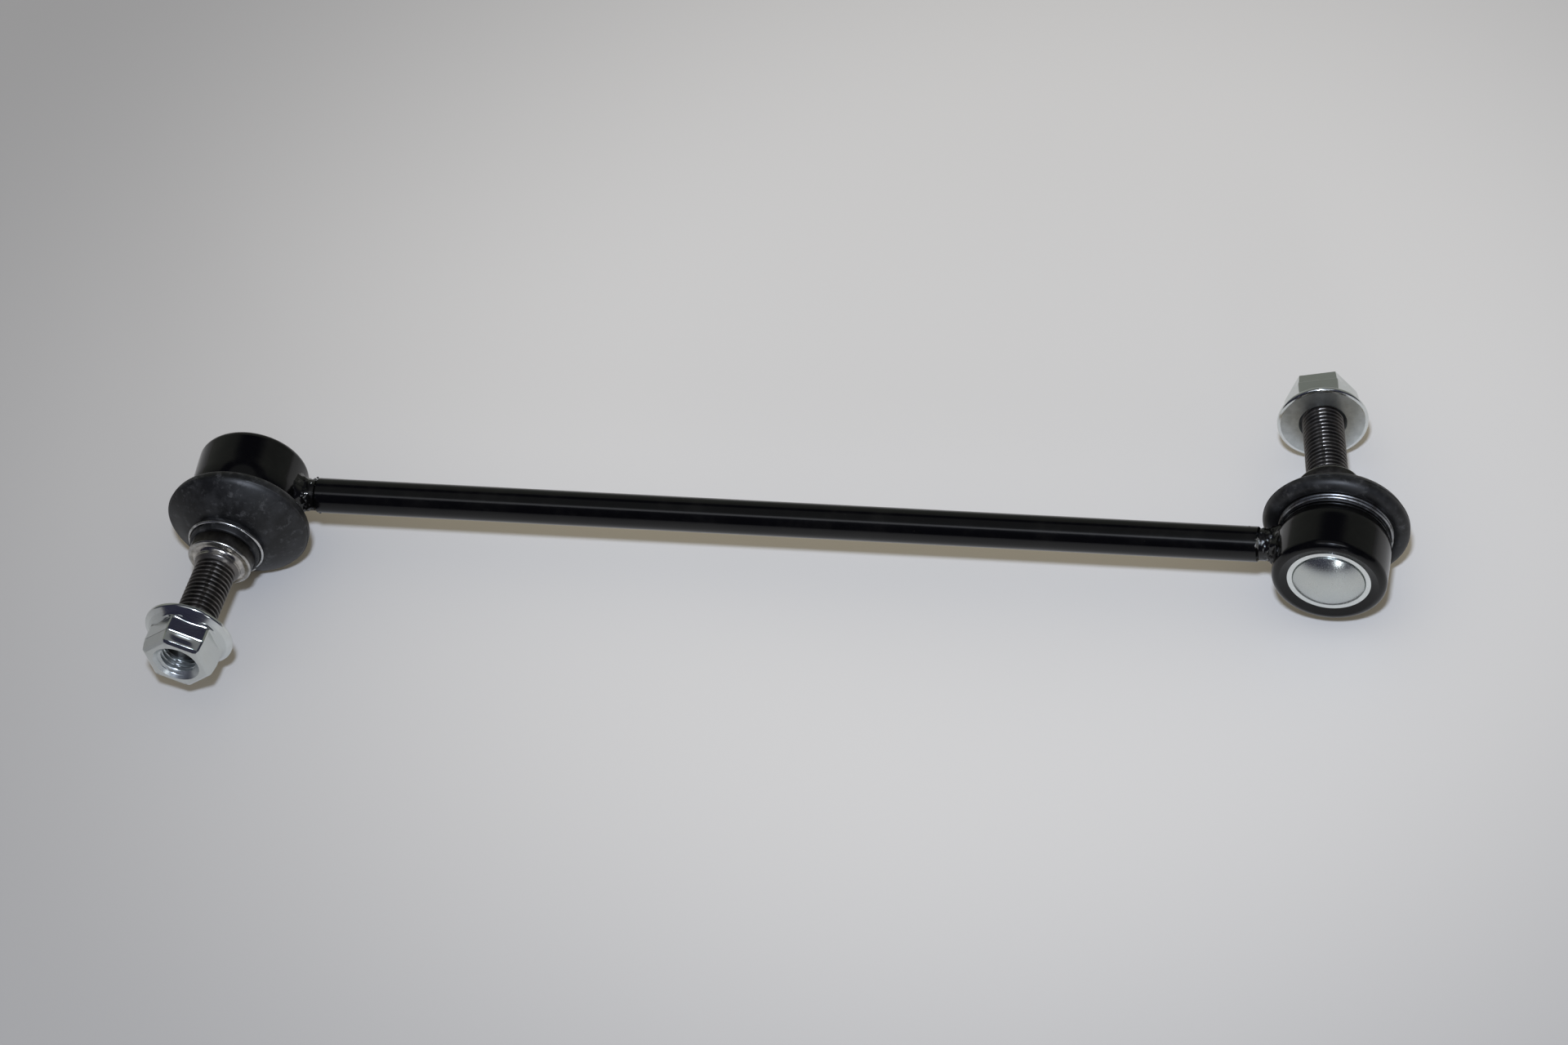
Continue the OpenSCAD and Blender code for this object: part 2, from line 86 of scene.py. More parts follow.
# The stud's steels from the ball to the relief: dark tone, bright tone and roughness
STUD_STEELS = [
    ("ball_steel", (0.50, 0.50, 0.49), (0.60, 0.60, 0.59), 0.08),
    ("neck_steel", (0.30, 0.29, 0.28), (0.42, 0.41, 0.39), 0.25),
    ("collar_steel", (0.070, 0.066, 0.062), (0.13, 0.122, 0.114), 0.26),
    ("collar_face_steel", (0.40, 0.39, 0.37), (0.62, 0.61, 0.58), 0.14),
    ("relief_steel", (0.36, 0.345, 0.325), (0.66, 0.63, 0.58), 0.10),
]
TAPPED_STEEL = ((0.55, 0.58, 0.58), (0.68, 0.71, 0.71), 0.24)

# Zinc of the nuts and the covers: tones inside and outside a radius, that radius, and the speckle
NUT_ZINC = ((0.66, 0.69, 0.68), (0.76, 0.79, 0.78), 11.5, 0.04)
COVER_ZINC = ((0.54, 0.57, 0.56), (0.76, 0.79, 0.78), 10.2, 0.22)

# How each joint sits on the rod, how its stud lies at rest and where its nut sits on the thread
ENDS = {
    "left": {"turn": 180, "offset": 3.0, "swing": -6.3, "dip": 1.3, "nut_turn": 40,
             "nut_at": THREAD_START + 15 * PITCH, "seed": 3},
    "right": {"turn": 0, "offset": 0.0, "swing": 10.0, "dip": 5.0, "nut_turn": 116,
              "nut_at": THREAD_START + 16 * PITCH, "seed": 8},
}


def rod_end_frame(side):
    """Origin on the rod's axis beside the ball, housing axis along +Y, rod towards -X; from millimetres."""
    return (Matrix.Rotation(math.radians(ENDS[side]["turn"]), 4, "Z")
            @ Matrix.Translation((HALF_LENGTH * MM, 0, 0)) @ Matrix.Scale(MM, 4))


def joint_frame(side):
    """The same, with its origin in the ball's centre."""
    return rod_end_frame(side) @ Matrix.Translation((0, ENDS[side]["offset"], 0))


def housing_frame(side):
    """Ball centre at the origin, housing axis along +Z."""
    return joint_frame(side) @ Matrix.Rotation(math.radians(-90), 4, "X")


def stud_frame(side, share=1.0):
    """Ball centre at the origin, +Z along the stud, or along an axis that takes a share of its tilt."""
    end = ENDS[side]
    return (joint_frame(side)
            @ Matrix.Rotation(math.radians(-end["dip"] * share), 4, "X")
            @ Matrix.Rotation(math.radians(end["swing"] * share), 4, "Z")
            @ Matrix.Rotation(math.radians(-90), 4, "X"))


def smooth_step(x):
    x = min(1.0, max(0.0, x))
    return x * x * (3 - 2 * x)


def soft_min(a, b, width):
    """The smaller of two numbers, rounded off where they are nearly the same."""
    near = max(0.0, width - abs(a - b)) / width
    return min(a, b) - near * near * width / 4


# Shader building

class Value:
    """A socket of a node; arithmetic on it adds Math nodes."""

    def __init__(self, nodes, socket):
        self.nodes = nodes
        self.socket = socket

    def math(self, operation, first, second=0.0):
        return self.nodes.node("ShaderNodeMath", {"operation": operation}, {0: first, 1: second})

    def __add__(self, other):
        return self.math("ADD", self, other)

    __radd__ = __add__

    def __sub__(self, other):
        return self.math("SUBTRACT", self, other)

    def __rsub__(self, other):
        return self.math("SUBTRACT", other, self)

    def __mul__(self, other):
        return self.math("MULTIPLY", self, other)

    __rmul__ = __mul__

    def fade(self, low, high):
        """0 below low and 1 above high, with a soft change between."""
        return self.nodes.node("ShaderNodeMapRange", {"interpolation_type": "SMOOTHSTEP"},
                                {"Value": self, "From Min": low, "From Max": high})


class Nodes:
    """A node tree."""

    def __init__(self, tree):
        self.tree = tree

    def node(self, kind, settings=None, sockets=None, out=0):
        """Adds any node: its settings first, then the values or links of its sockets."""
        made = self.tree.nodes.new(kind)
        for name, value in (settings or {}).items():
            setattr(made, name, value)
        for name, value in (sockets or {}).items():
            self.feed(made.inputs[name], value)
        return Value(self, made.outputs[out])

    def feed(self, socket, value):
        if isinstance(value, Value):
            self.tree.links.new(value.socket, socket)
        else:
            socket.default_value = value

    def mix(self, share, first, second):
        """A colour between two colours."""
        return self.node("ShaderNodeMix", {"data_type": "RGBA"},
                         {0: share, 6: colour(first), 7: colour(second)}, out=2)

    def dot(self, vector, direction):
        """Length of a vector along a direction."""
        return self.node("ShaderNodeVectorMath", {"operation": "DOT_PRODUCT"},
                         {0: vector, 1: tuple(direction)}, out="Value")


class Finish(Nodes):
    """One material and its nodes."""

    def __init__(self, name, **uniform):
        self.material = bpy.data.materials.new(name)
        self.material.use_nodes = True
        super().__init__(self.material.node_tree)
        self.shader = self.tree.nodes["Principled BSDF"]
        for socket, value in uniform.items():
            self.shader.inputs[socket.replace("_", " ")].default_value = value

    def set(self, **varying):
        """Feeds the shader's sockets that change over the surface."""
        for socket, value in varying.items():
            self.feed(self.shader.inputs[socket.replace("_", " ")], value)
        return self

    def place(self):
        """Where the surface is, in the part's own frame, in metres."""
        return self.node("ShaderNodeTexCoord", out="Object")

    def from_point(self, start):
        inputs = {0: self.place(), 1: tuple(start)}
        return self.node("ShaderNodeVectorMath", {"operation": "SUBTRACT"}, inputs)

    def along(self, start, direction):
        """Distance of the surface along a direction from a point, in millimetres."""
        return self.dot(self.from_point(start), Vector(direction) / MM)

    def away(self, start, direction):
        """Distance of the surface from an axis, in millimetres."""
        crossed = self.node("ShaderNodeVectorMath", {"operation": "CROSS_PRODUCT"},
                            {0: self.from_point(start), 1: tuple(Vector(direction) / MM)})
        return self.node("ShaderNodeVectorMath", {"operation": "LENGTH"}, {0: crossed}, out="Value")

    def near(self, point):
        """Distance of the surface from a point, in millimetres."""
        return self.node("ShaderNodeVectorMath", {"operation": "LENGTH"},
                         {0: self.from_point(point)}, out="Value") * (1 / MM)

    def cloud(self, size, detail=3.0, roughness=0.55):
        """Noise whose lumps are about that many millimetres across."""
        return self.node("ShaderNodeTexNoise", None,
                         {"Vector": self.place(), "Scale": 1 / (size * MM), "Detail": detail,
                          "Roughness": roughness})

    def rings(self, station, width):
        """Noise that changes only along a station, such as turning marks."""
        return self.node("ShaderNodeTexNoise", {"noise_dimensions": "1D"},
                         {"W": station, "Scale": 1 / width, "Detail": 2.0})

    def bump(self, height, strength, distance):
        return self.node("ShaderNodeBump", None,
                         {"Height": height, "Strength": strength, "Distance": distance * MM})


def colour(value):
    return value if isinstance(value, Value) else (*value, 1.0)


def black_dip_coat():
    """Glossy black dip paint with orange peel, dust, rubbed specks and a bare spot beside the right weld."""
    coat = Finish("black_dip_coat", Coat_Roughness=0.06, Specular_IOR_Level=0.26)
    peel = coat.cloud(1.1, 2.0)
    dust = coat.cloud(9.0, 5.0, 0.7)
    rub = coat.cloud(0.5, 2.0).fade(0.74, 0.80) * coat.cloud(12.0, 2.0).fade(0.52, 0.62)
    ragged = coat.near(BARE_SPOT) + 3.0 * coat.cloud(1.0, 3.0)
    bare = 1.0 - ragged.fade(2.9, 3.3)
    base = coat.mix(dust.fade(0.45, 0.8), (0.0012, 0.0012, 0.0014), (0.0040, 0.0039, 0.0038))
    worn = coat.mix(rub, base, (0.08, 0.077, 0.074))
    coat.set(Base_Color=coat.mix(bare, worn, (0.34, 0.33, 0.31)),
             Metallic=0.8 * bare,
             Roughness=0.10 + 0.10 * dust + 0.3 * rub + 0.15 * bare,
             Coat_Weight=0.12 - 0.12 * bare,
             Normal=coat.bump(peel, 0.12, 0.05))
    return coat.material


def weld_metal():
    """Rippled weld, painted over glossy black."""
    weld = Finish("painted_weld", Specular_IOR_Level=0.5)
    thin = weld.cloud(1.3, 1.0).fade(0.70, 0.74)
    ripple = weld.cloud(0.7, 4.0)
    weld.set(Base_Color=weld.mix(thin, (0.0025, 0.0024, 0.0024), (0.09, 0.087, 0.084)),
             Metallic=0.8 * thin,
             Roughness=0.07 + 0.06 * ripple,
             Normal=weld.bump(ripple, 0.35, 0.25))
    return weld.material


def spatter_metal():
    """Drops thrown off the weld, some of them painted over."""
    drop = Finish("weld_spatter", Metallic=1.0)
    grime = drop.cloud(1.6).fade(0.42, 0.56)
    drop.set(Base_Color=drop.mix(grime, (0.40, 0.39, 0.37), (0.012, 0.012, 0.012)),
             Roughness=0.16 + 0.1 * grime)
    return drop.material


def zinc_plate(name, start, direction, inner, outer, edge, speckle):
    """Bright zinc with a cool tint, cloudy and finely scuffed, of two tones inside and outside a radius."""
    zinc = Finish(name, Metallic=1.0)
    cloud = zinc.cloud(4.5, 4.0, 0.6)
    grain = zinc.cloud(0.30, 2.0)
    scuff = zinc.cloud(0.9, 6.0, 0.75).fade(0.60, 0.72)
    radius = zinc.away(start, direction)
    tone = zinc.mix(radius.fade(edge, edge + 0.2), inner, outer)
    tint = zinc.mix(cloud.fade(0.3, 0.7) * 0.3, tone, (0.62, 0.63, 0.60))
    zinc.set(Base_Color=zinc.mix(scuff * 0.35, tint, (0.38, 0.41, 0.42)),
             Roughness=0.09 + 0.08 * cloud + speckle * grain + 0.10 * scuff,
             Normal=zinc.bump(grain + 0.4 * zinc.rings(radius, 0.35), 0.08 + speckle, 0.03))
    return zinc.material


def phosphate_thread(name, start, direction):
    """Near-black phosphate, smoother on the thread's crests, with a painted highlight: the crests are painted
    paler.
    """
    dark = Finish(name, Metallic=0.9)
    crystals = dark.cloud(0.25, 3.0)
    patches = dark.cloud(4.0, 3.0)
    # painted highlight: the crests' paler base colour stands in for the lamp's highlights on them
    crest = dark.away(start, direction).fade(THREAD_R - 0.35, THREAD_R - 0.05)
    root = dark.mix(patches.fade(0.35, 0.7), (0.022, 0.020, 0.019), (0.060, 0.053, 0.047))
    dark.set(Base_Color=dark.mix(crest, root, (0.16, 0.15, 0.14)),
             Roughness=0.36 + 0.14 * crystals - 0.14 * crest,
             Normal=dark.bump(crystals, 0.15, 0.03))
    return dark.material


def turned_steel(name, start, direction, dark, bright, roughness):
    """Lathe-turned steel with fine rings round the stud."""
    turned = Finish(name, Metallic=1.0)
    marks = turned.rings(turned.along(start, direction), 0.16)
    stain = turned.cloud(3.0, 4.0, 0.65)
    turned.set(Base_Color=turned.mix(stain.fade(0.35, 0.7), dark, bright),
               Roughness=roughness + 0.14 * stain + 0.08 * marks,
               Normal=turned.bump(marks, 0.22, 0.03))
    return turned.material


def boot_rubber():
    """Satin black rubber with a pale bloom in patches, handling smears and a fine moulded grain."""
    rubber = Finish("boot_rubber", Specular_IOR_Level=0.40)
    bloom = rubber.cloud(7.0, 5.0, 0.62)
    grain = rubber.cloud(0.3, 2.0)
    smear = rubber.cloud(2.2, 4.0, 0.7)
    base = rubber.mix(bloom.fade(0.42, 0.64), (0.0025, 0.0026, 0.0030), (0.012, 0.0125, 0.014))
    rubber.set(Base_Color=rubber.mix(smear.fade(0.52, 0.72) * 0.7, base, (0.045, 0.046, 0.050)),
               Roughness=0.36 + 0.16 * bloom + 0.08 * grain,
               Normal=rubber.bump(grain + 0.6 * smear, 0.14, 0.06))
    return rubber.material


def spring_wire(name, bright, stained, roughness):
    """Drawn spring wire with oil stain."""
    wire = Finish(name, Metallic=1.0)
    stain = wire.cloud(2.5, 3.0)
    wire.set(Base_Color=wire.mix(stain.fade(0.4, 0.65), bright, stained),
             Roughness=roughness + 0.16 * stain)
    return wire.material


def seat_plastic():
    """Milky acetal, smooth with a slight flow mark."""
    acetal = Finish("acetal_seat")
    flow = acetal.cloud(5.0, 3.0)
    acetal.set(Base_Color=acetal.mix(flow, (0.80, 0.80, 0.76), (0.86, 0.86, 0.83)),
               Roughness=0.42 + 0.1 * flow)
    return acetal.material


# Mesh building

def add_piece(name, mesh_data, finishes, body, angle):
    """Makes an object of a mesh, smooth but for its sharp edges, and lets it ride on a body."""
    mesh = bpy.data.meshes.new(name)
    mesh_data.to_mesh(mesh)
    mesh_data.free()
    piece = bpy.data.objects.new(name, mesh)
    bpy.context.scene.collection.objects.link(piece)
    for finish in finishes:
        mesh.materials.append(finish)
    mesh.shade_smooth()
    mesh.set_sharp_from_angle(angle=math.radians(angle))
    if body:
        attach(piece, body)
    return piece


def skin(rings, closed=False, band_finish=None):
    """A surface through rings of points. A ring of one point is a pole. Closed joins last to first."""
    made = bmesh.new()
    rows = [[made.verts.new(p) for p in ring] for ring in rings]
    bands = list(zip(rows, rows[1:]))
    if closed:
        bands.append((rows[-1], rows[0]))
    for i, (low, high) in enumerate(bands):
        count = max(len(low), len(high))
        for j in range(count):
            k = (j + 1) % count
            corners = [low[j % len(low)], low[k % len(low)], high[k % len(high)], high[j % len(high)]]
            face = made.faces.new(list(dict.fromkeys(corners)))
            if band_finish:
                face.material_index = band_finish[i]
    bmesh.ops.recalc_face_normals(made, faces=made.faces)
    return made


def circle(radius, station, count, place, radius_at=None):
    """A ring of points round +Z, in a frame; a zero radius gives one point."""
    if radius < 1e-6:
        return [place @ Vector((0, 0, station))]
    ring = []
    for j in range(count):
        a = 2 * math.pi * j / count
        r = radius_at(station, a) if radius_at else radius
        ring.append(place @ Vector((r * math.cos(a), r * math.sin(a), station)))
    return ring


def arc_points(centre, rx, ry, first, last, steps):
    """Points of a part of an ellipse, as radius and station."""
    points = []
    for i in range(steps + 1):
        a = math.radians(first + (last - first) * i / steps)
        points.append((centre[0] + rx * math.cos(a), centre[1] + ry * math.sin(a)))
    return points


def valley(station, angle):
    """0 on the crest of the thread and 1 in its root, for a right-hand thread."""
    crest, root = 1 / 8, 1 / 4
    turn = (station / PITCH - angle / (2 * math.pi)) % 1.0
    from_crest = min(turn, 1 - turn) - crest / 2
    return min(1.0, max(0.0, from_crest / (0.5 - crest / 2 - root / 2)))


def stud_outline():
    """Radius, station and finish number of the stud, from the ball's back to the tip."""
    ball, neck, collar, face, relief, thread = range(6)
    points = [(r, w, ball) for r, w in arc_points((0, 0), BALL_R, BALL_R, -90, BALL_TO, 30)]
    points.append((NECK_R, NECK_START, neck))
    rise, run = BOOT_SEAT_R - NECK_R, BOOT_SEAT_AT - NECK_LEN
    flare = (rise * rise + run * run) / (2 * rise)
    turn = math.degrees(math.asin(run / flare))
    points += [(r, w, neck) for r, w in
               arc_points((NECK_R + flare, NECK_LEN), flare, flare, 180, 180 - turn, 10)]
    edge, fillet = COLLAR_EDGE, COLLAR_FILLET
    points += [(BOOT_SEAT_R, COLLAR_BACK, collar), (COLLAR_R - COLLAR_BREAK, COLLAR_BACK, collar)]
    points += [(COLLAR_R, COLLAR_BACK + COLLAR_BREAK, collar), (COLLAR_R, COLLAR_FACE - edge, collar)]
    points += [(r, w, face) for r, w in
               arc_points((COLLAR_R - edge, COLLAR_FACE - edge), edge, edge, 0, 90, 4)]
    points += [(RELIEF_R + fillet, COLLAR_FACE, face)]
    points += [(r, w, relief) for r, w in
               arc_points((RELIEF_R + fillet, COLLAR_FACE + fillet), fillet, fillet, 270, 180, 9)]
    points += [(RELIEF_R, RELIEF_END - 0.2, relief), (RELIEF_R - 0.1, RELIEF_END, thread)]
    steps = round((STUD_TIP - RELIEF_END) / PITCH * STUD_STEPS)
    for i in range(1, steps + 1):
        w = RELIEF_END + (STUD_TIP - RELIEF_END) * i / steps
        run = min(1, (w - RELIEF_END) / (THREAD_START - RELIEF_END))
        points.append((RELIEF_R + (THREAD_R - RELIEF_R) * run, w, thread))
    points += [(TIP_R - 1.0, STUD_TIP, thread), (0, STUD_TIP, thread)]
    return points


def thread_radius(outline_r):
    """Radius of the cut thread at a station and an angle, inside the stud's outline."""
    def radius_at(station, angle):
        if not RELIEF_END < station <= STUD_TIP:
            return outline_r
        cut_in = smooth_step((station - RELIEF_END - 0.3) / PITCH)
        tip = TIP_R + (STUD_TIP - station) * (THREAD_R - TIP_R) / TIP_CHAMFER
        return min(outline_r - THREAD_DEPTH * cut_in * valley(station, angle), max(tip, TIP_R), outline_r)
    return radius_at


def make_stud(side, finishes):
    """The ball stud, from the ball to the cut thread."""
    place = stud_frame(side)
    outline = stud_outline()
    rings = [circle(r, w, STUD_COLUMNS, place, thread_radius(r)) for r, w, _ in outline]
    stud = add_piece(f"{side}_threaded_ball_stud", skin(rings, band_finish=[f for _, _, f in outline[1:]]),
                     finishes, f"{side} stud", 50)
    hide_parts(f"{side}_ball_stud")


def nut_radius(w, angle):
    """Radius of the nut over its bearing face: a hexagon with three dents, on a conical flange."""
    flat_number = round((math.degrees(angle) - 30) / 60)
    from_flat = angle - math.radians(30 + 60 * flat_number)
    rise = min(NUT_FILLET, max(0.0, w - NUT_FOOT))
    foot = NUT_FILLET - math.sqrt(NUT_FILLET ** 2 - (NUT_FILLET - rise) ** 2)
    flat = NUT_FLAT_R + foot - NUT_BAND_IN * smooth_step((w - NUT_BAND_AT) / NUT_BAND_STEP)
    flat -= NUT_BAND_TAPER * max(0.0, w - NUT_BAND_AT)
    if flat_number % 2:
        across = flat * math.tan(from_flat)
        lens = math.exp(-(across / DENT_HALF_W) ** 4 - ((w - DENT_AT) / DENT_HALF_H) ** 4)
        flat -= lens * (DENT_DEPTH - NUT_BAND_TAPER * (w - DENT_AT))
    flat -= max(0.0, w - NUT_H + NUT_EDGE)
    hexagon = soft_min(flat / math.cos(from_flat), NUT_CORNER_R - 0.1, 0.25)
    hexagon = soft_min(hexagon, NUT_FACE_R + (NUT_H - w) * math.sqrt(3), 0.2)
    flange = NUT_FLANGE_R - (NUT_FLANGE_R - NUT_FLAT_R) * (w - NUT_RIM) / (NUT_CONE_H - NUT_RIM)
    return -soft_min(-hexagon, -flange, 0.25)


def make_nut(side, finishes):
    """The flange nut, with a cut thread that meshes with the stud's."""
    end = ENDS[side]
    place = stud_frame(side) @ Matrix.Translation((0, 0, end["nut_at"]))
    turn = math.radians(end["nut_turn"])

    def outside(w, angle):
        return nut_radius(w, (angle - turn) % (2 * math.pi))

    def inside(w, angle):
        crest = THREAD_R + NUT_THREAD_GAP - THREAD_DEPTH * valley(end["nut_at"] + w, angle)
        return max(crest, NUT_BORE_R + NUT_SINK - min(w, NUT_H - w))

    rim = [(NUT_FLANGE_R - 1.0, 0), (NUT_FLANGE_R - 0.3, 0.12), (NUT_FLANGE_R - 0.06, 0.3),
           (NUT_FLANGE_R, 0.5), (NUT_FLANGE_R, NUT_RIM - 0.2), (NUT_FLANGE_R - 0.05, NUT_RIM - 0.05)]
    rings = [circle(r, w, NUT_COLUMNS, place) for r, w in rim]
    # rows lie close where the flange, the band and the face's edge bend the surface
    heights = [NUT_RIM + 0.08 * i for i in range(1, 34)] + [4.2, 5.0, 6.0, 7.0, 7.6, NUT_BAND_AT - 0.04]
    heights += [NUT_BAND_AT + 0.03 * i for i in range(6)] + [8.08 + 0.1 * i for i in range(32)]
    heights += [NUT_H - NUT_EDGE + step for step in (-0.03, 0.0, 0.03, 0.25, 0.5)] + [NUT_H]
    rings += [circle(1.0, w, NUT_COLUMNS, place, outside) for w in heights]
    rings += [circle(NUT_BORE_R + NUT_SINK + NUT_LAND, NUT_H, NUT_COLUMNS, place)]
    plated = len(rings)
    steps = round(NUT_H / PITCH * NUT_STEPS)
    rings += [circle(1.0, NUT_H * (1 - i / steps), NUT_COLUMNS, place, inside) for i in range(steps + 1)]
    band_finish = [0] * plated + [1] * (len(rings) - plated)
    nut = add_piece(f"{side}_locking_nut", skin(rings, closed=True, band_finish=band_finish), finishes,
                    f"{side} nut", 40)
    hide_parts(f"{side}_flange_nut")


def boot_share(station):
    """Share of the stud's tilt that the boot has taken up at a station."""
    return smooth_step((station - BOOT_FOOT) / (MOUTH_LOW - BOOT_WALL - BOOT_FOOT))


def boot_circle(side, r, w):
    """A ring of the boot, tilted by its share."""
    return circle(r, w, BOOT_COLUMNS, stud_frame(side, boot_share(w)))


def dome_points(rim, mouth, first, last, steps):
    """Points of the boot's dome, bowed out from the end of the rim's round at 0 to the mouth at 1."""
    bow = rim + DOME_FULLNESS * (rim[0] - mouth[0]) * Vector((-1, 1 / math.tan(math.radians(RIM_TO))))
    points = []
    for i in range(steps + 1):
        t = first + (last - first) * i / steps
        points.append(tuple((1 - t) ** 2 * rim + 2 * t * (1 - t) * bow + t * t * mouth))
    return points


def make_boot(side, finish):
    """The boot in two lengths that meet at one ring, each ring tilted by its share of the stud's tilt."""
    meet, play = BOOT_MEET, BOOT_PLAY
    grip, nose = BOOT_SEAT_R + play, BOOT_NOSE_R
    inner_r = RIM_R - BOOT_WALL
    up = Vector((math.cos(math.radians(RIM_TO)), math.sin(math.radians(RIM_TO))))
    outside = (RIM_CENTRE + RIM_R * up, Vector((MOUTH_R, MOUTH_LOW)))
    inside = (RIM_CENTRE + inner_r * up, Vector((grip + MOUTH_RELIEF, MOUTH_LOW - BOOT_WALL)))
    bead = [(GROOVE_R + play, GROOVE_BOTTOM + play), (BEAD_R - 0.2, GROOVE_BOTTOM + play),
            (BEAD_R, GROOVE_BOTTOM + 0.3), (BEAD_R, BOOT_FOOT - 0.2), (BEAD_R + 0.15, BOOT_FOOT - 0.1)]
    lip = [(MOUTH_R, MOUTH_HIGH - 0.3), (MOUTH_R - 0.12, MOUTH_HIGH - 0.1), (MOUTH_R - 0.4, MOUTH_HIGH),
           (grip + 0.3, MOUTH_HIGH), (grip, MOUTH_HIGH - 0.2), (grip, MOUTH_LOW)]
    flash_r = RIM_R + FLASH_H
    flash = arc_points(RIM_CENTRE, flash_r, flash_r, RIM_FLASH - 1, RIM_FLASH + 1, 2)
    lower = (bead + arc_points(RIM_CENTRE, RIM_R, RIM_R, RIM_FROM, RIM_FLASH - 3, 18) + flash
             + arc_points(RIM_CENTRE, RIM_R, RIM_R, RIM_FLASH + 3, RIM_TO, 8)
             + dome_points(*outside, 0, meet, 6)[1:] + dome_points(*inside, meet, 0, 4)
             + arc_points(RIM_CENTRE, inner_r, inner_r, RIM_TO, RIM_FROM, 8)[1:]
             + [(nose, BOOT_FOOT + BOOT_WALL), (nose, GROOVE_TOP - play)]
             + [(GROOVE_R + play, GROOVE_TOP - play)])
    upper = dome_points(*outside, meet, 1, 20) + lip + dome_points(*inside, 1, meet, 14)
    pieces = []
    for name, section in (("boot_skirt", lower), ("boot_dome", upper)):
        rings = [boot_circle(side, r, w) for r, w in section]
        surface = skin(rings, closed=True)
        pieces.append(add_piece(f"{side}_{name}", surface, [finish], None, 45))
        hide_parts(f"{side}_boot")
    dip_start, dip_end = [stud_frame(side, DIP_BEND_SHARE) @ Vector((0, 0, w)) for w in DIP_BEND]
    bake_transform(pieces[0])
    swing_start, swing_end = [stud_frame(side, BOOT_MEET_SHARE) @ Vector((0, 0, w)) for w in SWING_BEND]
    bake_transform(pieces[1])


def wire_coil(radius, station, wire_d, turns, place, start_angle):
    """Turns of round wire wound side by side, with cut ends whose edges are broken a little."""
    count, around = round(turns * 80), 12
    rise = wire_d * 1.02
    rings = []
    for i in range(count + 1):
        turn = turns * i / count
        a = math.radians(start_angle) + 2 * math.pi * turn
        centre_w = station + (turn - turns / 2) * rise
        end = min(i, count - i)
        fat = wire_d / 2 * (0.78 if end == 0 else 1.0)
        out = Vector((math.cos(a), math.sin(a), 0))
        ring = []
        for j in range(around):
            b = 2 * math.pi * j / around
            point = out * (radius + fat * math.cos(b)) + Vector((0, 0, centre_w + fat * math.sin(b)))
            ring.append(place @ point)
        if end == 0:
            cap = [place @ (out * radius + Vector((0, 0, centre_w)))]
            rings += [cap, ring] if i == 0 else [ring, cap]
        else:
            rings.append(ring)
    return skin(rings)


def make_wire_rings(side, clamp_finish, lip_finish):
    """The wire that clamps the boot on the housing, and the one round its mouth."""
    clamp = wire_coil(CLAMP_RING_R, CLAMP_RING_AT, CLAMP_WIRE_D, CLAMP_TURNS, housing_frame(side), WIRE_START)
    piece = add_piece(f"{side}_clamp_wire", clamp, [clamp_finish], "link", 60)
    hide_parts(f"{side}_boot_clamp_ring")
    lip = wire_coil(LIP_RING_R, LIP_RING_AT, LIP_WIRE_D, LIP_TURNS, stud_frame(side), WIRE_START)
    piece = add_piece(f"{side}_lip_wire", lip, [lip_finish], f"{side} boot mouth", 60)
    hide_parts(f"{side}_boot_lip_ring")


def housing_wall_x(y, z):
    """Where the housing's wall is met going along the rod, at a height beside the ball."""
    over = max(0.0, y + SHOULDER_START)
    r = HOUSING_R - SHOULDER_R + math.sqrt(SHOULDER_R ** 2 - over ** 2)
    return -math.sqrt(max(0.0, r * r - z * z))


